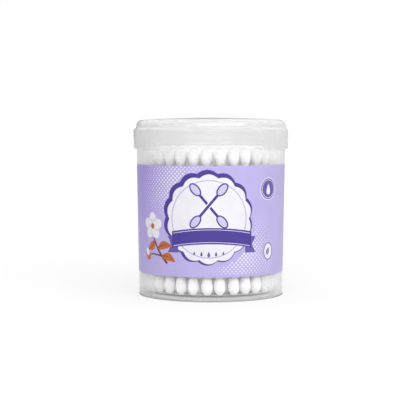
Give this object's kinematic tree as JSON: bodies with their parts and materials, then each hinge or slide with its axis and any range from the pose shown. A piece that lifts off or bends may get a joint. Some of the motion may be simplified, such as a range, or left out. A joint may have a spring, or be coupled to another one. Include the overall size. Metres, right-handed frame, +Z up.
{
  "type": "cotton swab tub",
  "caption": "Round see-through plastic tub of upright cotton swabs, with a press-on milky lid and a printed lavender label round its wall.",
  "frame": {"origin": "centre of the tub's foot ring, on the ground", "axes": "+Z up along the tub's axis, -Y towards the label's front, +X to the right as seen from the front"},
  "size_m": [0.0794, 0.0794, 0.0906],
  "materials": {
    "clear_plastic": "clear moulded polypropylene, smooth and a little hazy",
    "milky_plastic": "milky moulded polypropylene, satin",
    "label_film": "lavender printed film, satin",
    "stick": "white rolled paper",
    "cotton": "white wound cotton"
  },
  "bodies": {
    "tub": {"tub": "clear_plastic", "label": "label_film", "ring_1_sticks": "stick", "ring_1_upper_tips": "cotton", "ring_1_lower_tips": "cotton", "ring_2_sticks": "stick", "ring_2_upper_tips": "cotton", "ring_2_lower_tips": "cotton", "ring_3_sticks": "stick", "ring_3_upper_tips": "cotton", "ring_3_lower_tips": "cotton", "ring_4_sticks": "stick", "ring_4_upper_tips": "cotton", "ring_4_lower_tips": "cotton", "ring_5_sticks": "stick", "ring_5_upper_tips": "cotton", "ring_5_lower_tips": "cotton", "centre_stick": "stick", "centre_upper_tip": "cotton", "centre_lower_tip": "cotton"},
    "lid": {"lid": "milky_plastic"}
  },
  "joints": [
    {"name": "lid_lift", "type": "slide", "parent": "tub", "child": "lid", "axis": [0, 0, 1], "range_m": [0, 0.04]}
  ]
}
